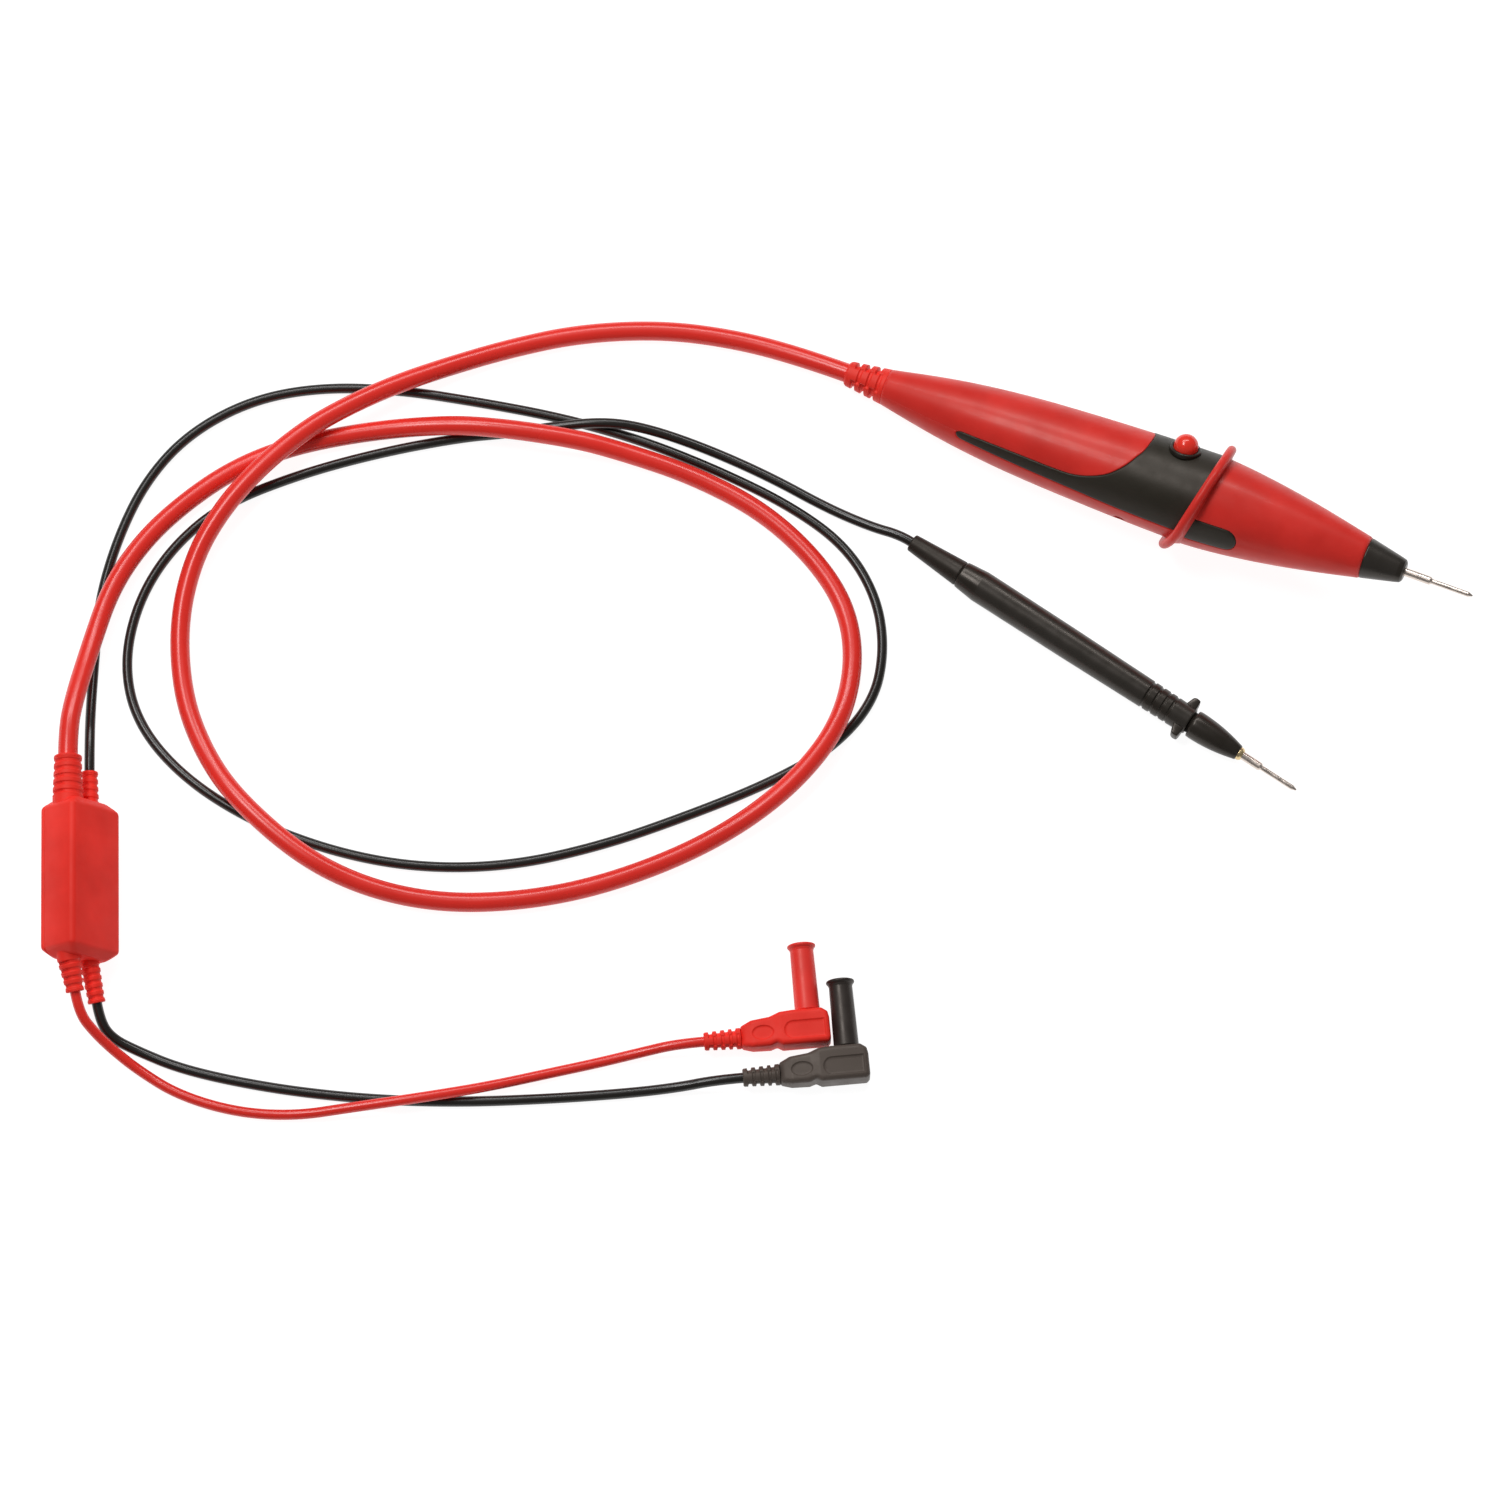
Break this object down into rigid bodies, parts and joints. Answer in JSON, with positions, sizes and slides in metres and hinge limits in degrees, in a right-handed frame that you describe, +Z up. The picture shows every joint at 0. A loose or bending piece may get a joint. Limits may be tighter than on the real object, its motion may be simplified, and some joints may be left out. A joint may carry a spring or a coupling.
{
  "type": "multimeter load-test lead pair",
  "caption": "Test leads with a thick push-button loading probe, a slim probe, an inline junction box and right-angle banana plugs with pin caps.",
  "frame": {"origin": "on the surface that the leads lie on, under the middle of the rigid pieces (probes, box and plugs)", "axes": "+X from the junction box towards the probe tips, along the longest extent; +Y from the plugs towards the probes; +Z up"},
  "size_m": [0.467, 0.2757, 0.0411],
  "materials": {
    "red_soft_pvc": "soft moulded PVC, satin",
    "red_gloss_abs": "injection-moulded ABS, satin gloss",
    "red_matte_pvc": "moulded PVC, matte",
    "red_button": "gloss",
    "red_gloss_cap": "flexible PVC, glossy",
    "red_cable_jacket": "PVC jacket, glossy",
    "black_soft_grip": "soft overmould, matte",
    "black_abs": "injection-moulded ABS, satin",
    "black_soft_pvc": "soft moulded PVC, satin",
    "black_matte_pvc": "moulded PVC, matte",
    "black_gloss_cap": "flexible PVC, glossy",
    "black_cable_jacket": "PVC jacket, glossy",
    "steel": "zinc plated",
    "spring_steel": "spring steel",
    "nickel": "nickel plated brass",
    "brass": "brass",
    "board_laminate": "glass-epoxy laminate",
    "resistor_ceramic": "ceramic tube",
    "white_nylon": "nylon"
  },
  "bodies": {
    "leads_and_housings": {"black_banana_pin": "nickel", "black_contact_needle": "nickel", "black_jacket_ends": "black_cable_jacket", "black_lead": "black_cable_jacket", "black_pin_boss": "black_matte_pvc", "black_pin_spring": "spring_steel", "black_plug_body": "black_matte_pvc", "black_plug_boot": "black_matte_pvc", "black_plug_lead": "black_cable_jacket", "black_probe_boot": "black_soft_pvc", "black_probe_conductor": "brass", "black_probe_ferrule": "brass", "black_probe_handle": "black_abs", "black_probe_nose": "black_abs", "button_bezel": "black_abs", "button_spring": "spring_steel", "cable_clamp": "steel", "circuit_board": "board_laminate", "handle_bottom_shell": "red_gloss_abs", "handle_top_shell": "red_gloss_abs", "junction_lid": "red_matte_pvc", "junction_tray": "red_matte_pvc", "load_resistor": "resistor_ceramic", "needle_holder": "brass", "nose_shell": "red_gloss_abs", "nose_side_pads": "black_soft_grip", "probe_rear_boot": "red_soft_pvc", "probe_wiring": "red_soft_pvc", "push_switch": "black_abs", "red_banana_pin": "nickel", "red_cable": "red_cable_jacket", "red_contact_needle": "nickel", "red_jacket_ends": "red_cable_jacket", "red_pin_boss": "red_matte_pvc", "red_pin_spring": "spring_steel", "red_plug_body": "red_matte_pvc", "red_plug_boot": "red_matte_pvc", "red_plug_lead": "red_cable_jacket", "relief_black_lead": "red_matte_pvc", "relief_black_plug_lead": "red_matte_pvc", "relief_red_plug_lead": "red_matte_pvc", "relief_thick_cable": "red_matte_pvc", "shell_screws": "steel", "soft_grip": "black_soft_grip", "splice_board": "board_laminate", "splice_sleeves": "brass", "tip_collar": "black_abs"},
    "button": {"push_button": "red_button", "button_plunger": "white_nylon"},
    "red_cap": {"red_pin_cap": "red_gloss_cap"},
    "black_cap": {"black_pin_cap": "black_gloss_cap"}
  },
  "joints": [
    {"name": "button_press", "type": "slide", "parent": "leads_and_housings", "child": "button", "axis": [-0.1626, -0.6002, -0.7832], "range_m": [0, 0.0016], "stiffness_N_per_m": 600, "springref_m": -0.001, "deforming": ["button_spring"]},
    {"name": "red_cap_pull", "type": "slide", "parent": "leads_and_housings", "child": "red_cap", "axis": [-0.0906, 0.9959, 0], "range_m": [0, 0.036]},
    {"name": "black_cap_pull", "type": "slide", "parent": "leads_and_housings", "child": "black_cap", "axis": [-0.0906, 0.9959, 0], "range_m": [0, 0.036]}
  ]
}
